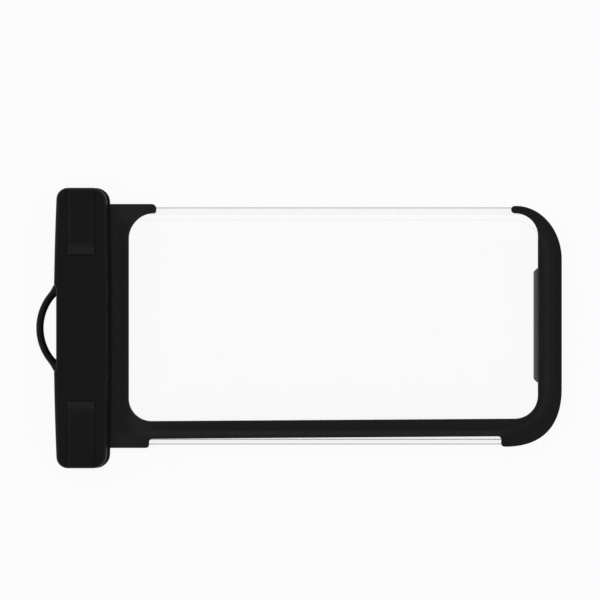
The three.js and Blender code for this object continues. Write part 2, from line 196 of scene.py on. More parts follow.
def mouldedPlastic(name, look):
    # satin black moulding: spark-eroded grain, with a faint uneven sheen
    n = material(name)
    place = n.place()
    grain = n.noise(place, look["grain"], detail=3.0, roughness=0.6)
    patch = n.noise(place, look["patch"])
    colour = n.blend(patch, look["dark"], look["light"])
    if "highlightTint" in look:
        # painted highlight on the latch's lip, tip and ridge
        colour = n.blend(paintedTabHighlight(n, place, look), colour, look["highlightTint"])
    return n.finish(n.node("ShaderNodeBsdfPrincipled", {}, {
        "Base Color": colour,
        "Roughness": wanderingSheen(patch, look) + grain * look["grainSheen"],
        "Specular IOR Level": look["gloss"],
        "Normal": n.bump(grain, look["relief"], look["grainBump"]),
    }))


def softSheet(name, look):
    # soft sheet or rubber with a fine pebbled skin
    n = material(name)
    place = n.place()
    patch = n.noise(place, look["patch"], detail=3.0)
    shade = patch
    if "paintedEdgeLight" in look:
        # painted light: paler along the free edge, where its rounded edge catches the light, and darker
        # towards the frame, as painted shade under the frame's edge
        edge = n.axis(place, 0).ramp(*fadeAt(bumperLow[0], look["paintedEdgeLight"]), 1.0, 0.0)
        shade = (edge + patch * look["patchShare"]).atMost(1.0)
    colour = n.blend(shade, look["dark"], look["light"])
    if "clampShadeLift" in look:
        # painted light: paler towards the mouth, lifting the shade that the clamp's wall casts on the frame
        # there
        mouth = n.axis(place, 0).ramp(*fadeAt(coverHigh[0], look["clampShadeLiftFade"]), 1.0, 0.0)
        colour = n.blend(mouth, colour, look["clampShadeLift"])
    return n.finish(n.node("ShaderNodeBsdfPrincipled", {}, {
        "Base Color": colour,
        "Roughness": wanderingSheen(patch, look),
        "Specular IOR Level": look["gloss"],
        "Normal": pebbledSkin(n, place, look),
    }))


def clearSheet(name, look):
    # clear film: nearly unseen face on, greyer where it turns away and where it is welded, with a grey weld
    # line, and a grey line of painted shade along its cut edge
    n = material(name)
    place = n.place()
    y = n.axis(place, 1)
    middle, half = (filmLow[1] + filmHigh[1]) / 2 * mm, (filmHigh[1] - filmLow[1]) / 2 * mm
    fromEdge = half - abs(y - middle)
    fromLine = abs(y - (filmLow[1] + look["weldLineAt"]) * mm)
    weld = fromEdge.ramp(*fadeAt(0, look["weld"]), 1.0, 0.0)
    # painted shade: a grey line along the cut edge, where the edge's refraction darkens the film
    cutEdge = fromEdge.ramp(*fadeAt(0, look["cutEdge"]), 1.0, 0.0)
    weldLine = fromLine.ramp(*fadeAt(0, look["weldLine"]), 1.0, 0.0)
    edgeShadeAndWeldLine = (cutEdge * look["cutShade"]).atLeast(weldLine * look["lineShade"])
    facing = n.node("ShaderNodeLayerWeight", {}, {"Blend": 0.5}, 1)
    smear = n.noise(place, look["smear"], detail=3.0)
    haze = facing.ramp(look["turnsAt"], 1.0, 0.0, look["turned"]) + weld * look["weldHaze"] + edgeShadeAndWeldLine
    return n.finish(n.node("ShaderNodeBsdfPrincipled", {}, {
        "Base Color": n.blend(cutEdge.atLeast(weldLine), look["tint"], look["edgeShadeAndWeldTint"]),
        "Roughness": smear.ramp(*look["smearSpan"], *look["rough"]),
        "Alpha": (haze + smear * look["haze"] + look["haze"]).atMost(1.0),
        "Normal": n.bump(smear, look["relief"], look["smearBump"]),
    }))


def drawnSteel(name, look):
    # bright wire with drawing lines along its length
    n = material(name)
    stretched = n.node("ShaderNodeMapping", {}, {0: n.place(), 3: look["stretch"]})
    lines = n.noise(stretched, look["lines"], detail=3.0)
    return n.finish(n.node("ShaderNodeBsdfPrincipled", {}, {
        "Base Color": n.blend(lines, look["dark"], look["light"]),
        "Metallic": 1.0,
        "Roughness": lines.ramp(*noiseSpan, *look["rough"]),
        "Normal": n.bump(lines, look["relief"], look["lineBump"]),
    }))


# Colours are linear. Scales are in waves a metre, and reliefs and fades in millimetres
moulded = {
    "rough": 0.42, "uneven": 0.03, "gloss": 0.13, "patch": 45,
    "grain": 3200, "grainSheen": 0.05, "grainBump": 0.6, "relief": 0.012,
}
finishes = {
    "clamp": mouldedPlastic("clampPlastic", {
        **moulded, "dark": (0.0044, 0.0044, 0.0045), "light": (0.0057, 0.0057, 0.0058),
    }),
    "latch": mouldedPlastic("latchPlastic", {
        **moulded, "dark": (0.0042, 0.0042, 0.0043), "light": (0.0055, 0.0055, 0.0056),
        # painted highlight: its colour, strengths and fades on the lip, tip and ridge
        "highlightTint": (0.013, 0.013, 0.0131), "ridgeHighlight": 0.45, "paintedTabHighlight": 0.5,
        "lipFade": (0.02, 0.35), "ridgeFade": (0.7, 1.5), "topFade": (-0.4, -0.1), "tipHighlightFade": (2.0, 7.0),
    }),
    "frame": softSheet("frameSheet", {
        "dark": (0.0121, 0.0121, 0.0125), "light": (0.0149, 0.0149, 0.0153), "patch": 38,
        # painted light: a paler colour near the clamp, lifting the clamp's shade on the frame
        "clampShadeLift": (0.0205, 0.0205, 0.021), "clampShadeLiftFade": (9.0, 24.0),
        "rough": 0.66, "uneven": 0.035, "gloss": 0.08, "pebble": 2600, "relief": 0.014,
    }),
    "film": clearSheet("clearFilm", {
        "tint": (0.82, 0.85, 0.86), "edgeShadeAndWeldTint": (0.2, 0.21, 0.22),
        "haze": 0.002, "turnsAt": 0.4, "turned": 0.6,
        # the cut edge's grey line is painted shade; the weld line is the film's own mark
        "weld": (2.5, 3.0), "weldHaze": 0.04, "cutEdge": (0.2, 0.5), "cutShade": 0.22,
        "weldLineAt": 1.9, "weldLine": (0.08, 0.26), "lineShade": 0.32,
        "smear": 60, "smearSpan": (0.35, 0.7), "rough": (0.05, 0.11), "smearBump": 0.4, "relief": 0.02,
    }),
    "bumper": softSheet("bumperRubber", {
        "dark": (0.032, 0.032, 0.033), "light": (0.125, 0.126, 0.13), "patch": 60,
        # painted light along the free edge, fading into painted shade towards the frame
        "paintedEdgeLight": (0.3, 2.6), "patchShare": 0.15,
        "rough": 0.6, "uneven": 0.04, "gloss": 0.35, "pebble": 2200, "relief": 0.012,
    }),
    "seal": softSheet("sealRubber", {
        "dark": (0.085, 0.088, 0.092), "light": (0.11, 0.114, 0.118), "patch": 70,
        "rough": 0.65, "uneven": 0.05, "gloss": 0.35, "pebble": 1800, "relief": 0.015,
    }),
    "pin": drawnSteel("pinSteel", {
        "dark": (0.4, 0.4, 0.41), "light": (0.6, 0.6, 0.61), "rough": (0.24, 0.38),
        "lines": 3000, "stretch": (0.08, 1.0, 1.0), "lineBump": 0.5, "relief": 0.004,
    }),
}
print("finishes made:", len(finishes))


# Mesh helpers

def newObject(name, points, faces, finish, body, node):
    data = bpy.data.meshes.new(name)
    data.from_pydata([tuple(p) for p in np.asarray(points) * mm], [], faces)
    obj = bpy.data.objects.new(name, data)
    scene.collection.objects.link(obj)
    data.materials.append(finishes[finish])
    data.polygons.foreach_set("use_smooth", [True] * len(data.polygons))
    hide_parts(node)
    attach(obj, body)
    return obj


class Outline:
    # a closed plan outline, drawn stroke by stroke
    def __init__(self, x, y):
        self.points = [(x, y)]

    def line(self, x, y, step=None):
        x0, y0 = self.points[-1]
        parts = max(1, round(math.hypot(x - x0, y - y0) / step)) if step else 1
        self.points += [(x0 + (x - x0) * i / parts, y0 + (y - y0) * i / parts) for i in range(1, parts + 1)]

    def arc(self, cx, cy, radius, start, end, parts):
        for i in range(1, parts + 1):
            a = math.radians(start + (end - start) * i / parts)
            self.points.append((cx + radius * math.cos(a), cy + radius * math.sin(a)))

    def curve(self, *handles, parts=12):
        p = [np.array(self.points[-1], float), *[np.array(h, float) for h in handles]]
        for i in range(1, parts + 1):
            t = i / parts
            row = p
            while len(row) > 1:
                row = [a * (1 - t) + b * t for a, b in zip(row, row[1:])]
            self.points.append(tuple(row[0]))

    def array(self):
        kept = [self.points[0]]
        for p in self.points[1:]:
            if math.dist(p, kept[-1]) > 1e-3:
                kept.append(p)
        if math.dist(kept[0], kept[-1]) < 1e-3:
            kept.pop()
        return np.array(kept, float)


def inset(points, distance, sharpest=0.4):
    # a closed outline moved inwards by a distance, or by one distance for each point
    before, after = np.roll(points, 1, 0), np.roll(points, -1, 0)
    a, b = points - before, after - points
    a /= np.linalg.norm(a, axis=1)[:, None]
    b /= np.linalg.norm(b, axis=1)[:, None]
    na, nb = np.stack([-a[:, 1], a[:, 0]], 1), np.stack([-b[:, 1], b[:, 0]], 1)
    n = na + nb
    n /= np.maximum((n * na).sum(1), sharpest)[:, None]
    return points + n * np.reshape(distance, (-1, 1))


def ringFaces(rings, count):
    faces = []
    for k in range(rings - 1):
        for i in range(count):
            j = (i + 1) % count
            faces.append((k * count + i, k * count + j, (k + 1) * count + j, (k + 1) * count + i))
    return faces


def distanceTo(points, outline, chosen=None):
    # distance from each point to a closed outline, or to chosen stretches of it
    a, b = outline, np.roll(outline, -1, 0)
    if chosen is not None:
        a, b = a[chosen], b[chosen]
    best = np.full(len(points), 1e9)
    for p, q in zip(a, b):
        d = q - p
        t = np.clip(((points - p) @ d) / max(d @ d, 1e-12), 0, 1)
        best = np.minimum(best, np.linalg.norm(points - p - t[:, None] * d, axis=1))
    return best


def insideOf(points, outline):
    x, y = points[:, 0], points[:, 1]
    inside = np.zeros(len(points), bool)
    for (x0, y0), (x1, y1) in zip(outline, np.roll(outline, -1, 0)):
        if y0 != y1:
            inside ^= ((y0 > y) != (y1 > y)) & (x < (x1 - x0) * (y - y0) / (y1 - y0) + x0)
    return inside


def lid(ring, height, cell):
    # a flat face filled with small cells, so cuts and shading stay clean
    xs, ys = (np.arange(a + cell / 2, b, cell) for a, b in zip(ring.min(0), ring.max(0)))
    grid = np.array([(x, y) for x in xs for y in ys])
    grid = grid[insideOf(grid, ring)]
    grid = grid[distanceTo(grid, ring) > cell / 2]
    flat = [Vector(p) for p in np.concatenate([ring, grid])]
    verts, _, faces, _, _, _ = delaunay_2d_cdt(flat, [], [list(range(len(ring)))], 1, 1e-6)
    points = np.array([(v[0], v[1], height) for v in verts])
    return points, [tuple(f) for f in faces]


def plate(outline, profile, share=1.0, cell=2.4):
    # a plate built from outlines stacked at (inset, base, rise) steps, with lids of small cells
    share = np.broadcast_to(share, len(outline))
    rings = []
    for d, base, rise in profile:
        at = inset(outline, d * share)
        rings.append(np.column_stack([at, base + rise * share]))
    count = len(outline)
    faces = ringFaces(len(rings), count)
    lowPoints, lowFaces = lid(rings[0][:, :2], rings[0][0, 2], cell)
    highPoints, highFaces = lid(rings[-1][:, :2], rings[-1][0, 2], cell)
    n = len(rings) * count
    points = [np.concatenate(rings)]
    for rim, lidPoints, lidFaces in ((0, lowPoints, lowFaces), (n - count, highPoints, highFaces)):
        # the first points of a lid are its rim, in order
        index = [rim + i if i < count else n + i - count for i in range(len(lidPoints))]
        faces += [tuple(index[i] for i in (f if rim else f[::-1])) for f in lidFaces]
        points.append(lidPoints[count:])
        n += len(lidPoints) - count
    return np.concatenate(points), faces


def roundedProfile(low, high, lowRound, highRound, parts=7):
    # (inset, base, rise) steps of a wall with rounded edges
    turns = [math.pi / 2 * i / parts for i in range(parts + 1)]
    steps = [(lowRound * (1 - math.sin(a)), low, lowRound * (1 - math.cos(a))) for a in turns]
    return steps + [(highRound * (1 - math.cos(a)), high, -highRound * (1 - math.sin(a))) for a in turns]


def flaredProfile(low, high, flare, parts=5, turn=80):
    # walls of a cutter that leaves a rounded rim where it comes out of a face at the given height
    steps = [(0, low, 0), (0, high, -flare)]
    for i in range(1, parts + 1):
        a = math.radians(turn) * i / parts
        steps.append((-flare * (1 - math.cos(a)), high, -flare * (1 - math.sin(a))))
    clear = steps[-1][0] - 0.02
    return steps + [(clear, high, 0.3), (clear, high, 2)]


def cuboid(low, high):
    (x0, y0, z0), (x1, y1, z1) = low, high
    points = [(x, y, z) for z in (z0, z1) for x, y in ((x0, y0), (x1, y0), (x1, y1), (x0, y1))]
    faces = [(3, 2, 1, 0), (4, 5, 6, 7), (0, 1, 5, 4), (1, 2, 6, 5), (2, 3, 7, 6), (3, 0, 4, 7)]
    return np.array(points), faces


def rodAlongX(radius, x0, x1, y, z, sides=32):
    a = np.arange(sides) * 2 * math.pi / sides
    ys, zs = y + radius * np.cos(a), z + radius * np.sin(a)
    rings = [np.column_stack([np.full(sides, x), ys, zs]) for x in (x0, x1)]
    faces = ringFaces(2, sides)
    faces += [tuple(range(sides))[::-1], tuple(range(sides, 2 * sides))]
    return np.concatenate(rings), faces


def combine(obj, shape, operation="DIFFERENCE"):
    # cuts or joins a shape with a real boolean, applied at once
    points, faces = shape
    data = bpy.data.meshes.new("tool")
    data.from_pydata([tuple(p) for p in points * mm], [], faces)
    tool = bpy.data.objects.new("tool", data)
    scene.collection.objects.link(tool)
    step = obj.modifiers.new("cut", "BOOLEAN")
    step.operation, step.solver, step.object = operation, "EXACT", tool
    applyAll(obj)
    bpy.data.objects.remove(tool)


def applyAll(obj):
    graph = bpy.context.evaluated_depsgraph_get()
    made = bpy.data.meshes.new_from_object(obj.evaluated_get(graph))
    obj.modifiers.clear()
    old = obj.data
    obj.data = made
    bpy.data.meshes.remove(old)


def finishShading(obj, angle=35):
    # smooth across rounded edges, with flat faces kept flat
    mesh = obj.data
    mesh.polygons.foreach_set("use_smooth", [True] * len(mesh.polygons))
    mesh.set_sharp_from_angle(angle=math.radians(angle))
    step = obj.modifiers.new("normals", "WEIGHTED_NORMAL")
    step.keep_sharp = True
    applyAll(obj)


# Pouch shape, shared by the films and the frames

pouch = {
    "weld": 2.8, "sideRise": 4.0, "mouthRise": 9.0, "mouthGap": 2.4, "filmThickness": 0.5,
    "cornerTop": (17.1, 20.0), "cornerBottom": (21.0, 21.8), "topHandle": 0.552, "bottomHandle": 0.655,
    "frameMargin": 0.8, "edgeRound": 0.18, "spacing": 0.42, "grid": 1.6,
}
pocketHalf = filmHigh[2] - midPlane - pouch["filmThickness"]
mouthFoot = rearHigh[0] + pouch["mouthGap"]
pouchMiddle = (filmLow[1] + filmHigh[1]) / 2
topRadius, bottomRadius = sum(pouch["cornerTop"]) / 2, sum(pouch["cornerBottom"]) / 2
sideShift = math.tan(math.atan(pocketHalf / pouch["sideRise"]) / 2)
mouthShift = math.tan(math.atan(pocketHalf / pouch["mouthRise"]) / 2)


def ease(t):
    c = np.clip(t, 0, 1)
    return c * c * (3 - 2 * c)


def insetAt(x, y):
    # distance in from the long sides and the rounded closed end
    upper = y > pouchMiddle
    side = np.where(upper, filmHigh[1] - y, y - filmLow[1])
    end = filmHigh[0] - x
    radius = np.where(upper, topRadius, bottomRadius)
    corner = radius - np.hypot(radius - side, radius - end)
    return np.where((side < radius) & (end < radius), corner, np.minimum(side, end))


def faceHeight(x, y, offset):
    # height over the middle plane of a sheet that lies this far outside the pocket's wall
    fromSide = ease((insetAt(x, y) + offset * sideShift - pouch["weld"]) / pouch["sideRise"])
    fromMouth = ease((x + offset * mouthShift - mouthFoot) / pouch["mouthRise"])
    return offset + pocketHalf * fromSide * fromMouth


creases = {
    "width": 1.7, "height": 0.3,
    # start x, start y, direction in degrees, length, share of the height
    "lines": [
        (-62, 33, -24, 34, 1.0), (-62, 26, -12, 26, -0.7), (-62, -27, 22, 36, 1.0), (-62, -20, 10, 24, -0.6),
        (-60, 10, 4, 20, 0.5), (-60, -3, -3, 18, -0.5), (84, 28, 205, 30, 0.9), (84, 20, 192, 22, -0.6),
        (84, -24, 155, 32, 0.9), (84, -15, 168, 24, -0.6), (-20, 39, -8, 40, 0.5), (30, 39, 188, 38, 0.5),
    ],
    "spread": (0.6, 1.6), "runIn": 5, "fade": 0.7,
    "swell": 0.16, "swellPitch": (58, 41), "swellBend": (0.8, 13), "swellTurn": 0.3,
    # how far in from the window the frame still holds the film flat
    "heldMouth": 1, "heldEnd": 3, "heldSide": 10.5, "freeRun": 7, "climbRun": 4,
}


def slack(x, y):
    # how the film stands off its flat plane: long swells, with creases that run in from the corners
    look = creases
    px, py = look["swellPitch"]
    bend, bendPitch = look["swellBend"]
    long = np.sin(2 * math.pi * x / px + bend * np.sin(y / bendPitch))
    lift = look["swell"] * (long * np.cos(2 * math.pi * y / py + look["swellTurn"]))
    narrow, widening = look["spread"]
    for x0, y0, turn, length, share in look["lines"]:
        a = math.radians(turn)
        along = (x - x0) * math.cos(a) + (y - y0) * math.sin(a)
        off = -(x - x0) * math.sin(a) + (y - y0) * math.cos(a)
        width = look["width"] * (narrow + along.clip(0) / length * widening)
        ends = ease(along / look["runIn"]) * ease((length - along) / (look["fade"] * length))
        lift = lift + look["height"] * share * np.exp(-(off / width) ** 2) * ends
    return lift


window = {
    "left": coverHigh[0] + 7.4, "right": frameHigh[0] - 8.7, "under": filmHigh[1] - 2.2,
    "bandMouth": filmLow[1] + 2.1, "bandEnd": filmLow[1] + 3.0, "bandWidth": 6.5,
    # corner radii
    "mouthTop": 9.4, "mouthBottom": 8.4, "endBottom": 8.6, "endTop": 8.6,
}


def windowShare(x, y):
    # 1 well inside the window, 0 at the frame that holds the film flat
    look = creases
    fromEnds = np.minimum(x - window["left"] - look["heldMouth"], window["right"] - look["heldEnd"] - x)
    inside = np.minimum(fromEnds, y - filmLow[1] - look["heldSide"])
    pastClimb = insetAt(x, y) - pouch["weld"] - pouch["sideRise"]
    return ease(inside / look["freeRun"]) * ease(pastClimb / look["climbRun"])


def roundEnd(path, end, bottom, top, trim, parts=26):
    # strokes round the closed end, from the low side to the high one
    lowX, lowY = (run - trim for run in pouch["cornerBottom"])
    highX, highY = (run - trim for run in pouch["cornerTop"])
    low, high = 1 - pouch["bottomHandle"], 1 - pouch["topHandle"]
    path.line(end - lowX, bottom, 2)
    path.curve((end - lowX * low, bottom), (end, bottom + lowY * low), (end, bottom + lowY), parts=parts)
    path.line(end, top - highY, 2)
    path.curve((end, top - highY * high), (end - highX * high, top), (end - highX, top), parts=parts)


def filmOutline():
    path = Outline(filmLow[0], filmLow[1])
    roundEnd(path, filmHigh[0], filmLow[1], filmHigh[1], pouch["frameMargin"])
    path.line(filmLow[0], filmHigh[1], 2)
    path.line(filmLow[0], filmLow[1], 2)
    return path.array()


frameShape = {
    "shoulder": 15.0, "endShoulder": 22.5, "mouthArm": 17.7, "endArm": 18.8, "step": 1.4,
    # how far it stands out past the film at the closed end
    "overTop": 0.6, "overBottom": 0.85,
    "grooveAt": 1.5, "grooveWidth": 0.45, "grooveDepth": 0.16,
    "valleyAt": 0.25, "valleyWidth": 0.42, "valleyDepth": 0.62,
    "overFilm": 0.03, "rimReach": 0.55, "rimRun": 0.35, "rimGap": 0.04, "edgeRound": 0.32, "spacing": 0.28,
    # rows of points: first, last and step
    "grooveRows": (-0.8, 0.85, 0.2), "valleyRows": (-1.05, 1.1, 0.3),
}


def coverEdge(y):
    # the clamp cover's bowed inner edge
    return coverHigh[0] - clamp["innerBow"] * (y / (rearHigh[1] - clamp["cornerInner"])) ** 2


def frameOutline():
    look, w = frameShape, window
    low, high = frameLow[1], frameHigh[1]
    endLow, endHigh = filmLow[1] - look["overBottom"], filmHigh[1] + look["overTop"]
    stepX, endStepX, r = coverHigh[0] + look["shoulder"], frameHigh[0] - look["endShoulder"], look["step"]
    # low side, with a shoulder near each end
    path = Outline(frameLow[0], low)
    path.line(stepX - r, low, 1.5)
    path.curve((stepX, low), (stepX, low + r), parts=6)
    path.line(stepX, w["bandMouth"] - r)
    path.curve((stepX, w["bandMouth"]), (stepX + r, w["bandMouth"]), parts=6)
    path.line(endStepX - r, w["bandEnd"], 2)
    path.curve((endStepX, w["bandEnd"]), (endStepX, w["bandEnd"] - r), parts=6)
    path.line(endStepX, endLow + r)
    path.curve((endStepX, endLow), (endStepX + r, endLow), parts=6)
    # closed end and the arm over its top
    roundEnd(path, frameHigh[0], endLow, endHigh, 0, 34)
    tip = (endHigh - w["under"]) / 2
    tipX = frameHigh[0] - look["endArm"] + tip
    path.line(tipX, endHigh, 1)
    path.arc(tipX, w["under"] + tip, tip, 90, 270, 12)
    # round the window
    outer = len(path.points)
    r = w["endTop"]
    path.line(w["right"] - r, w["under"])
    path.arc(w["right"] - r, w["under"] - r, r, 90, 0, 16)
    band, r = w["bandEnd"] + w["bandWidth"], w["endBottom"]
    path.line(w["right"], band + r, 2)
    path.arc(w["right"] - r, band + r, r, 0, -90, 14)
    band, r = w["bandMouth"] + w["bandWidth"], w["mouthBottom"]
    path.line(w["left"] + r, band, 2)
    path.arc(w["left"] + r, band + r, r, -90, -180, 14)
    r = w["mouthTop"]
    path.line(w["left"], w["under"] - r, 2)
    path.arc(w["left"] + r, w["under"] - r, r, 180, 90, 18)
    # arm at the mouth
    tip = (high - w["under"]) / 2
    tipX = coverHigh[0] + look["mouthArm"] - tip
    inner = len(path.points)
    path.curve((tipX + tip, w["under"]), (tipX + tip, w["under"] + tip), parts=8)
    path.arc(tipX, w["under"] + tip, tip, 0, 90, 8)
    path.line(frameLow[0], high, 1.5)
    path.line(frameLow[0], low, 2)
    points = path.array()
    return points, (outer, inner)


def bendPoints():
    # points that follow the pouch's walls, where a sheet over it bends
    points, along = [], 1.2
    for d in np.arange(1.2, 8.2, 0.5):
        for radius, top in ((topRadius, True), (bottomRadius, False)):
            edge = filmHigh[1] - d if top else filmLow[1] + d
            turn = radius - d
            cx, cy = filmHigh[0] - radius, (filmHigh[1] - radius if top else filmLow[1] + radius)
            points += [(x, edge) for x in np.arange(rearHigh[0], cx, along)]
            for a in np.arange(0, math.pi / 2, 1.0 / turn):
                points.append((cx + turn * math.sin(a), cy + turn * math.cos(a) * (1 if top else -1)))
        low, high = filmLow[1] + bottomRadius, filmHigh[1] - topRadius
        points += [(filmHigh[0] - d, y) for y in np.arange(low, high, along)]
    for x in np.arange(mouthFoot - 1.5, mouthFoot + pouch["mouthRise"] + 1, 0.5):
        points += [(x, y) for y in np.arange(filmLow[1] - 1, filmHigh[1] + 1, 0.9)]
    return points


def gridPoints(step):
    xs = np.arange(filmLow[0] + step, frameHigh[0], step)
    ys = np.arange(frameLow[1], frameHigh[1], step)
    return [(x, y) for x in xs for y in ys]


def spread(groups, nearest):
    # keeps points in order, dropping any that lies too close to one already kept
    kept, cells = [], {}
    for x, y in groups:
        key = (int(x // nearest), int(y // nearest))
        near = [p for i in (-1, 0, 1) for j in (-1, 0, 1) for p in cells.get((key[0] + i, key[1] + j), ())]
        if all((x - p[0]) ** 2 + (y - p[1]) ** 2 >= nearest ** 2 for p in near):
            cells.setdefault(key, []).append((x, y))
            kept.append((x, y))
    return np.array(kept)


def trimmedSheet(outline, extra, edgeRound, lower, upper, spacing):
    # a closed sheet between two height functions, cut to an outline, with its cut edge rounded
    parts = 4
    turns = [math.pi / 2 * i / parts for i in range(parts + 1)]
    rise = [(edgeRound * (1 - math.sin(a)), 0.5 - 0.5 * math.cos(a)) for a in turns]
    steps = rise + [(d, 1 - s) for d, s in rise[-2::-1]]
    inner = inset(outline, edgeRound)
    cloud = np.array(extra)
    cloud = cloud[insideOf(cloud, inner)]
    cloud = cloud[distanceTo(cloud, inner) > spacing * 0.6]
    cloud = spread(cloud, spacing)
    count = len(inner)
    flat = [Vector(p) for p in np.concatenate([inner, cloud])]
    verts, _, faces, origin, _, _ = delaunay_2d_cdt(flat, [], [list(range(count))], 1, 1e-5)
    plan = np.array([tuple(v) for v in verts])
    onRim = {}
    for i, sources in enumerate(origin):
        for s in sources:
            if s < count:
                onRim[s] = i
    low, high = lower(plan[:, 0], plan[:, 1]), upper(plan[:, 0], plan[:, 1])
    points = [*np.column_stack([plan, low]), *np.column_stack([plan, high])]
    n = len(plan)
    made = [tuple(f)[::-1] for f in faces] + [tuple(i + n for i in f) for f in faces]
    rings = [[onRim[i] for i in range(count)]]
    for d, share in steps[1:-1]:
        at = inset(outline, d)
        a, b = lower(at[:, 0], at[:, 1]), upper(at[:, 0], at[:, 1])
        rings.append(list(range(len(points), len(points) + count)))
        points += [*np.column_stack([at, a * (1 - share) + b * share])]
    rings.append([onRim[i] + n for i in range(count)])
    for a, b in zip(rings, rings[1:]):
        made += [(a[i], a[(i + 1) % count], b[(i + 1) % count], b[i]) for i in range(count)]
    return np.array(points), made


def mirrored(points, faces):
    flipped = np.array(points)
    flipped[:, 2] = 2 * midPlane - flipped[:, 2]
    return flipped, [f[::-1] for f in faces]


def makeFilms():
    thickness = pouch["filmThickness"]

    def inner(x, y):
        return midPlane + faceHeight(x, y, 0) + slack(x, y) * windowShare(x, y)

    def outer(x, y):
        return midPlane + faceHeight(x, y, thickness) + slack(x, y) * windowShare(x, y)

    cloud = bendPoints() + gridPoints(pouch["grid"])
    points, faces = trimmedSheet(filmOutline(), cloud, pouch["edgeRound"], inner, outer, pouch["spacing"])
    newObject("frontFilm", points, faces, "film", "case", "front_film")
    backPoints, backFaces = mirrored(points, faces)
    newObject("backFilm", backPoints, backFaces, "film", "case", "back_film")
    print("films:", len(points), "points each")


def makeFrames():
    look = frameShape
    outline, (outer, inner) = frameOutline()
    edge = [i for i in range(len(outline)) if i < outer or i >= inner]
    base = pouch["filmThickness"] + look["overFilm"]
    top = frameHigh[2] - midPlane - pocketHalf

    def lower(x, y):
        onFilm = ease((insetAt(x, y) + look["rimReach"]) / look["rimRun"])
        return midPlane + look["rimGap"] * (1 - onFilm) + faceHeight(x, y, base) * onFilm

    def upper(x, y):
        fromEdge = distanceTo(np.column_stack([x, y]), outline, edge)
        groove = np.exp(-((fromEdge - look["grooveAt"]) / look["grooveWidth"]) ** 2)
        valley = np.exp(-((x - coverEdge(y) - look["valleyAt"]) / look["valleyWidth"]) ** 2)
        cut = look["grooveDepth"] * groove * ease((x - rearHigh[0]) / 2) + look["valleyDepth"] * valley
        return midPlane + faceHeight(x, y, top) - cut

    # rows of points along the groove and the valley, so that both come out crisp
    cloud = []
    first, last, step = look["grooveRows"]
    for d in np.arange(look["grooveAt"] + first, look["grooveAt"] + last, step):
        ring = inset(outline, d)
        good = distanceTo(ring, outline) > d - 0.08
        cloud += [tuple(p) for p, g in zip(ring, good) if g]
    for y in np.arange(frameLow[1] + 0.5, frameHigh[1], 0.8):
        cloud += [(coverEdge(y) + look["valleyAt"] + d, y) for d in np.arange(*look["valleyRows"])]
    cloud += bendPoints() + gridPoints(pouch["grid"])
    points, faces = trimmedSheet(outline, cloud, look["edgeRound"], lower, upper, look["spacing"])
    newObject("frontFrame", points, faces, "frame", "case", "front_frame")
    backPoints, backFaces = mirrored(points, faces)
    newObject("backFrame", backPoints, backFaces, "frame", "case", "back_frame")
    print("frames:", len(points), "points each")


# Clamp

clamp = {
    "bow": 1.0, "innerBow": 0.6, "cornerOuter": 4.3, "cornerInner": 5.2,
    "coverRound": 1.5, "footRound": 0.15, "cutRound": 0.12,
    "notchDepth": 0.95, "notchLength": 31, "notchRun": 1.3, "notchEase": 0.55, "notchFade": (2.5, 2),
    "tabThickness": 2.4, "tabCorner": 1.0, "leg": 3.2,
    "gap": 0.35, "tabGap": 0.3, "tabSideGap": 0.09, "catchGap": 0.4,
    "filmMouth": 2.6, "bayGap": 0.4, "sealGap": 0.25, "relief": 1.8, "jawRecess": 0.4,
}
clampHalf = rearHigh[1]
coverOuter, coverInner = filmLow[0] - clamp["filmMouth"], coverHigh[0]
tabBase = coverHigh[2] - clamp["tabThickness"]
past = 3  # cutters run this far out of the bars


def barOutline(outer, inner, notch=None):
    # plan of a clamp bar: bowed long edges and round corners, with an optional notch for the loop
    look, y = clamp, clampHalf
    outerEnd, innerEnd = outer + look["bow"], inner - look["innerBow"]
    a, b = look["cornerOuter"], look["cornerInner"]

    def outerAt(at):
        return outerEnd - look["bow"] * (1 - (at / (y - a)) ** 2)

    path = Outline(outerEnd + a, -y)
    path.line(innerEnd - b, -y, 1.2)
    path.arc(innerEnd - b, b - y, b, -90, 0, 14)
    for at in np.linspace(b - y, y - b, 60)[1:]:
        path.line(innerEnd + look["innerBow"] * (1 - (at / (y - b)) ** 2), at)
    path.arc(innerEnd - b, y - b, b, 0, 90, 14)
    path.line(outerEnd + a, y, 1.2)
    path.arc(outerEnd + a, y - a, a, 90, 180, 12)
    stop = notch["half"] + notch["run"] if notch else 0
    for at in np.linspace(y - a, stop, 28)[1:]:
        path.line(outerAt(at), at)
    if notch:
        x, half = outer + notch["depth"], notch["half"]
        path.curve((outerAt(stop), half + 0.1), (x, half + 0.5), (x, half - 1.1), parts=10)
        path.line(x, 1.1 - half, 1.2)
        path.curve((x, -half - 0.5), (outerAt(stop), -half - 0.1), (outerAt(stop), -stop), parts=10)
    for at in np.linspace(-stop, a - y, 28)[1:]:
        path.line(outerAt(at), at)
    path.arc(outerEnd + a, a - y, a, 180, 270, 12)
    return path.array()


def roundedPlan(x0, y0, x1, y1, r, parts=6):
    path = Outline(x0 + r, y0)
    path.line(x1 - r, y0)
    path.arc(x1 - r, y0 + r, r, -90, 0, parts)
    path.line(x1, y1 - r)
    path.arc(x1 - r, y1 - r, r, 0, 90, parts)
    path.line(x0 + r, y1)
    path.arc(x0 + r, y1 - r, r, 90, 180, parts)
    path.line(x0, y0 + r)
    path.arc(x0 + r, y0 + r, r, 180, 270, parts)
    return path.array()


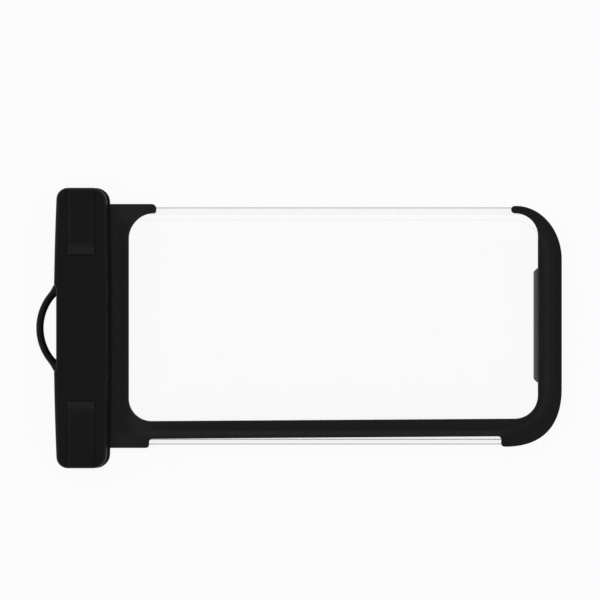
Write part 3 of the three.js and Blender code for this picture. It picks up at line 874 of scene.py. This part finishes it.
def makeCover():
    look = clamp
    low, high = coverLow[2], coverHigh[2]
    below, above = low - 2, high + 1
    notch = {"half": look["notchLength"] / 2, "depth": look["notchDepth"], "run": look["notchRun"]}
    outline = barOutline(coverOuter, coverInner, notch)
    # the rounded edge is tighter along the notch
    beyond, run = look["notchFade"]
    onOuterSide = outline[:, 0] < coverOuter + 3
    nearNotch = ease((notch["half"] + beyond - abs(outline[:, 1])) / run) * onOuterSide
    share = 1 - look["notchEase"] * nearNotch
    points, faces = plate(outline, roundedProfile(low, high, look["footRound"], look["coverRound"]), share)
    obj = newObject("frontClampBar", points, faces, "clamp", "case", "front_clamp_bar")
    g = look["tabSideGap"]
    x0, x1 = latchLow[0] - g, latchHigh[0] + g
    for side in (1, -1):
        ends = sorted((side * (latchLow[1] - g), side * (clampHalf + past)))
        tab = roundedPlan(x0, ends[0], x1, ends[1], look["tabCorner"])
        combine(obj, plate(tab, flaredProfile(tabBase - look["tabGap"], high, look["cutRound"])))
        ends = sorted((side * (clampHalf - look["leg"] - g), side * (clampHalf + past)))
        combine(obj, cuboid((x0 - 0.02, ends[0], below), (x1 + 0.02, ends[1], above)))
        # groove that clears the bead under the tab
        clear = latch["catchInset"] - look["catchGap"]
        radius, catchY = latch["catch"] + look["catchGap"], side * (latchLow[1] + latch["catchY"])
        combine(obj, rodAlongX(radius, latchLow[0] + clear, latchHigh[0] - clear, catchY, tabBase))
    g = look["sealGap"]
    combine(obj, cuboid((sealLow[0] - g, sealLow[1] - g, below),
                        (sealHigh[0] + g, sealHigh[1] + g, sealHigh[2])))
    g = look["bayGap"]
    combine(obj, cuboid((frameLow[0] - 1, frameLow[1] - g, below),
                        (coverInner + past, frameHigh[1] + g, midPlane + look["relief"])))
    finishShading(obj)
    print("front clamp bar:", len(obj.data.polygons), "faces")


rearBar = {"inset": 1.0, "round": 1.2, "topRound": 0.45, "land": 2.0, "rib": 1.2, "pinGap": 0.25}


def makeRearBar():
    look = rearBar
    low, high = rearLow[2], coverLow[2]
    outer, inner = coverOuter + look["inset"], rearHigh[0]
    profile = roundedProfile(low, high, look["round"], look["topRound"])
    points, faces = plate(barOutline(outer, inner), profile)
    obj = newObject("rearClampBar", points, faces, "clamp", "case", "rear_clamp_bar")
    # bay for the films, with two ribs under the seal
    g, far = clamp["bayGap"], inner + past
    below, above = low - 2, high + 2
    bayLow, bayHigh = filmLow[1] - g, filmHigh[1] + g
    seat, start = midPlane - pouch["filmThickness"], filmLow[0] - g
    combine(obj, cuboid((start, bayLow, seat), (far, bayHigh, above)))
    ribs = [start + look["land"], sealLow[0] + look["rib"] / 2, sealHigh[0] - look["rib"] * 1.5]
    ends = [ribs[1], ribs[2], far]
    for x0, x1 in zip([ribs[0], ribs[1] + look["rib"], ribs[2] + look["rib"]], ends):
        combine(obj, cuboid((x0, bayLow, seat - clamp["jawRecess"]), (x1, bayHigh, above)))
    combine(obj, cuboid((frameLow[0] - 1, frameLow[1] - g, midPlane - clamp["relief"]),
                        (far, frameHigh[1] + g, above)))
    x0, x1 = latchLow[0] - clamp["gap"], latchHigh[0] + clamp["gap"]
    wall = latch["pinY"] - latch["knuckle"] - g
    for side in (1, -1):
        a, b = sorted((side * wall, side * (clampHalf + past)))
        combine(obj, cuboid((x0, a, below), (x1, b, above)))
        radius, end = latch["pin"] + look["pinGap"], pinHigh[0] + look["pinGap"]
        combine(obj, rodAlongX(radius, pinLow[0] - 5, end, side * latch["pinY"], latch["pinZ"]))
    combine(obj, loopStrand(outer), "UNION")
    finishShading(obj)
    print("rear clamp bar:", len(obj.data.polygons), "faces")


loop = {
    "radius": 18.9, "strand": 1.4, "flare": 0.75, "flareReach": 1.3, "flarePower": 1.4, "z": 3.2,
    "half": 52, "steps": 90, "sides": 28,
}


def loopStrand(face):
    # half ring that a lanyard ties to, flared where it grows out of the bar
    look, sides = loop, loop["sides"]
    middle = rearLow[0] + look["strand"] + look["radius"]
    a = np.arange(sides) * 2 * math.pi / sides
    rings = []
    for turn in np.linspace(-look["half"], look["half"], look["steps"]):
        t = math.radians(turn)
        cx, cy = middle - look["radius"] * math.cos(t), look["radius"] * math.sin(t)
        off = max(0, face - cx) / max(math.sin(abs(t)), 0.2)
        r = look["strand"] + look["flare"] * math.exp(-(off / look["flareReach"]) ** look["flarePower"])
        across, up = r * np.cos(a), r * np.sin(a)
        rings.append(np.column_stack([cx - math.cos(t) * across, cy + math.sin(t) * across, look["z"] + up]))
    faces = [f[::-1] for f in ringFaces(len(rings), sides)]
    faces += [tuple(range(sides)), tuple(range((len(rings) - 1) * sides, len(rings) * sides))[::-1]]
    return np.concatenate(rings), faces


latch = {
    "pinY": (pinLow[1] + pinHigh[1]) / 2, "pinZ": (pinLow[2] + pinHigh[2]) / 2,
    "pin": (pinHigh[2] - pinLow[2]) / 2, "pinGap": 0.25, "knuckle": 2.4, "round": 1.6, "leg": 3.2,
    "endRound": 0.25, "tipRound": 0.55, "step": 0.4, "tabCorner": 0.3, "legCorner": 0.9,
    # the lip's slope, as distances from the tip: foot, its handle, the top's handle, top
    "lipSlope": (4.0, 3.0, 3.1, 1.9),
    # the neck over the knuckle, as heights over the pin: start, its handle, the knuckle's handle
    "neck": (2.2, 1.2, 1.3),
    # shallow dish along the tab: where it starts, and how long it takes to reach its depth
    "dish": 0.3, "dishLeft": (0.9, 0.8), "dishRight": (0.6, 1.1),
    "dishOuter": (0.3, 9), "dishLip": (1.7, 4.5),
    # bead under the tab that snaps into the cover
    "catch": 0.7, "catchY": 4.2, "catchInset": 0.7,
}


def latchSide():
    # side view of the upper latch, in Y and Z, anticlockwise from the knuckle's outer face
    look = latch
    outer, tip, top, lipTop = latchHigh[1], latchLow[1], coverHigh[2], latchHigh[2]
    inner, r = outer - look["leg"], look["round"]
    path = Outline(outer, look["pinZ"])
    path.line(outer, top - r, 1)
    path.arc(outer - r, top - r, r, 0, 90, 8)
    first = len(path.points) - 1
    foot, footHandle, topHandle, topEnd = (tip + run for run in look["lipSlope"])
    path.line(foot, top, look["step"])
    path.curve((footHandle, top), (topHandle, lipTop), (topEnd, lipTop), parts=8)
    path.line(tip + look["tipRound"], lipTop)
    path.curve((tip, lipTop), (tip, lipTop - look["tipRound"]), parts=8)
    last = len(path.points) - 1
    c = look["tabCorner"]
    path.line(tip, tabBase + c)
    path.curve((tip, tabBase), (tip + c, tabBase), parts=3)
    c = look["legCorner"]
    path.line(inner - c, tabBase, 1.2)
    path.arc(inner - c, tabBase - c, c, 90, 0, 6)
    neck, neckHandle, knuckleHandle = (look["pinZ"] + rise for rise in look["neck"])
    side = look["pinY"] - look["knuckle"]
    path.line(inner, neck, 1)
    path.curve((inner, neckHandle), (side, knuckleHandle), (side, look["pinZ"]), parts=6)
    path.arc(look["pinY"], look["pinZ"], look["knuckle"], 180, 360, 24)
    return path.array(), (first, last)


def dishDepth(x, y):
    # thumb dish between the ridge, the right rim, the outer end and the lip
    look = latch

    def rise(distance, key):
        start, run = look[key]
        return ease((distance - start) / run)

    across = rise(x - latchLow[0], "dishLeft") * rise(latchHigh[0] - x, "dishRight")
    along = rise(latchHigh[1] - y, "dishOuter") * rise(y - latchLow[1], "dishLip")
    return look["dish"] * across * along


def makeLatch(name, node, side):
    look = latch
    outline, (first, last) = latchSide()
    x0, x1, r = latchLow[0], latchHigh[0], look["endRound"]
    rounds = [(r * (1 - math.sin(a)), r * (1 - math.cos(a))) for a in np.linspace(0, math.pi / 2, 6)]
    stations = [(d, x0 + run) for d, run in rounds]
    stations += [(0, x) for x in np.linspace(x0 + r, x1 - r, 36)[1:-1]]
    stations += [(d, x1 - run) for d, run in rounds[::-1]]
    onTop = np.zeros(len(outline))
    onTop[first:last + 1] = 1
    rings = []
    for d, x in stations:
        ring = inset(outline, d)
        y, z = ring[:, 0], ring[:, 1]
        rings.append(np.column_stack([np.full(len(y), x), y, z - dishDepth(x, y) * onTop]))
    count = len(outline)
    faces = ringFaces(len(rings), count)
    faces += [tuple(range(count))[::-1], tuple(range((len(rings) - 1) * count, len(rings) * count))]
    obj = newObject(name, np.concatenate(rings), faces, "latch", node, node)
    beadY, beadZ = latchLow[1] + look["catchY"], tabBase + look["catch"] / 4
    bead = rodAlongX(look["catch"], x0 + look["catchInset"], x1 - look["catchInset"], beadY, beadZ, 20)
    combine(obj, bead, "UNION")
    combine(obj, rodAlongX(look["pin"] + look["pinGap"], x0 - 2, x1 + 2, look["pinY"], look["pinZ"]))
    if side < 0:
        mesh = obj.data
        for v in mesh.vertices:
            v.co.y = -v.co.y
        mesh.flip_normals()
    finishShading(obj)
    print(name + ":", len(obj.data.polygons), "faces")


bumper = {"chamfer": 1.3, "round": 0.5, "softRun": 0.3, "softCut": 0.2}


def makeBumper():
    (x0, y0, z0), (x1, y1, z1) = bumperLow, bumperHigh
    c, run, cut = bumper["chamfer"], bumper["softRun"], bumper["softCut"]
    path = Outline(x0, y1 - c - run)
    path.line(x0, y0 + c + run, 1)
    path.curve((x0, y0 + c), (x0 + cut, y0 + c - cut), parts=4)
    path.line(x0 + c - cut, y0 + cut, 0.4)
    path.curve((x0 + c, y0), (x0 + c + run, y0), parts=4)
    path.line(x1, y0, 0.6)
    path.line(x1, y1, 1)
    path.line(x0 + c + run, y1, 0.6)
    path.curve((x0 + c, y1), (x0 + c - cut, y1 - cut), parts=4)
    path.line(x0 + cut, y1 - c + cut, 0.4)
    path.curve((x0, y1 - c), (x0, y1 - c - run), parts=4)
    points, faces = plate(path.array(), roundedProfile(z0, z1, bumper["round"], bumper["round"]))
    obj = newObject("endBumper", points, faces, "bumper", "case", "end_bumper")
    finishShading(obj, angle=50)
    print("end bumper:", len(obj.data.polygons), "faces")


makeFilms()
makeFrames()
makeCover()
makeRearBar()
makeLatch("upperLatch", "upper_latch", 1)
makeLatch("lowerLatch", "lower_latch", -1)
makeBumper()

# The pins and the seal keep their solids, with their own finishes
for node, finish in (("upper_latch_pin", "pin"), ("lower_latch_pin", "pin"), ("seal_strip", "seal")):
    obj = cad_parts[node]
    obj.data.materials.clear()
    obj.data.materials.append(finishes[finish])


# Stage, light and camera

studio = {
    "floorReach": 6.0, "floorDrop": 0.1, "floorColour": (0.9, 0.9, 0.9, 1), "floorGlow": 0.93,
    "horizon": 0.68, "overhead": 0.55, "skyFrom": 0.1, "skyTo": 0.62,
    # place in metres, size in metres, radiance
    "lamps": {
        "keyLeft": ((-1.0, 0.2, 0.5), (1.2, 1.4), 0.4),
        "fillRight": ((1.05, -0.1, 0.45), (1.1, 1.3), 0.5),
        "backSoft": ((0.1, 1.1, 0.5), (1.5, 0.9), 0.3),
    },
}
# span: width of the view at the height of the plane, in millimetres
lens = {"length": 400, "sensor": 36, "span": 222.8, "centre": (0.44, 10.4), "plane": 9.0, "clip": (0.05, 50)}


def makeStage():
    # floor that looks white and still takes the shadow
    n = material("floorWhite")
    seen = n.node("ShaderNodeLightPath", {}, {}, 0)
    glossy = n.node("ShaderNodeLightPath", {}, {}, 3)
    plain = n.node("ShaderNodeBsdfDiffuse", {}, {"Color": studio["floorColour"]})
    bright = n.node("ShaderNodeEmission", {}, {"Strength": 1.0})
    share = (seen + glossy).atMost(1.0) * studio["floorGlow"]
    n.finish(n.node("ShaderNodeMixShader", {}, {0: share, 1: plain, 2: bright}))
    reach = studio["floorReach"]
    corners = [(-reach, -reach, 0), (reach, -reach, 0), (reach, reach, 0), (-reach, reach, 0)]
    data = bpy.data.meshes.new("floor")
    data.from_pydata(corners, [], [(0, 1, 2, 3)])
    data.materials.append(n.owner)
    floor = bpy.data.objects.new("floor", data)
    floor.location.z = -studio["floorDrop"] * mm
    scene.collection.objects.link(floor)


def makeWorld():
    # bright at the horizon, dim overhead, so that flat black faces stay black
    scene.world = bpy.data.worlds.new("studio")
    n = Nodes(scene.world, "ShaderNodeOutputWorld")
    stops = [(studio["skyFrom"], [studio["horizon"]] * 3), (studio["skyTo"], [studio["overhead"]] * 3)]
    up = n.axis(n.node("ShaderNodeTexCoord"), 2)
    sky = n.node("ShaderNodeValToRGB", {"stops": stops}, {0: up})
    n.finish(n.node("ShaderNodeBackground", {}, {0: sky}))


def makeLamp(name, place, size, radiance):
    data = bpy.data.lights.new(name, "AREA")
    data.shape, data.size, data.size_y = "RECTANGLE", size[0], size[1]
    data.energy = radiance * math.pi * size[0] * size[1]
    obj = bpy.data.objects.new(name, data)
    obj.location = place
    obj.rotation_mode = "QUATERNION"
    obj.rotation_quaternion = (-Vector(place)).to_track_quat("-Z", "Y")
    scene.collection.objects.link(obj)


def makeCamera():
    # long lens straight down, framed as the photograph is
    data = bpy.data.cameras.new("camera")
    data.lens, data.sensor_width = lens["length"], lens["sensor"]
    data.clip_start, data.clip_end = lens["clip"]
    obj = bpy.data.objects.new("camera", data)
    x, y = lens["centre"]
    height = lens["plane"] + lens["span"] * lens["length"] / lens["sensor"]
    obj.location = Vector((x, y, height)) * mm
    scene.collection.objects.link(obj)
    scene.camera = obj


makeStage()
makeWorld()
for name, (place, size, radiance) in studio["lamps"].items():
    makeLamp(name, place, size, radiance)
makeCamera()
scene.view_settings.view_transform = "Standard"
print("stage, lights and camera ready")
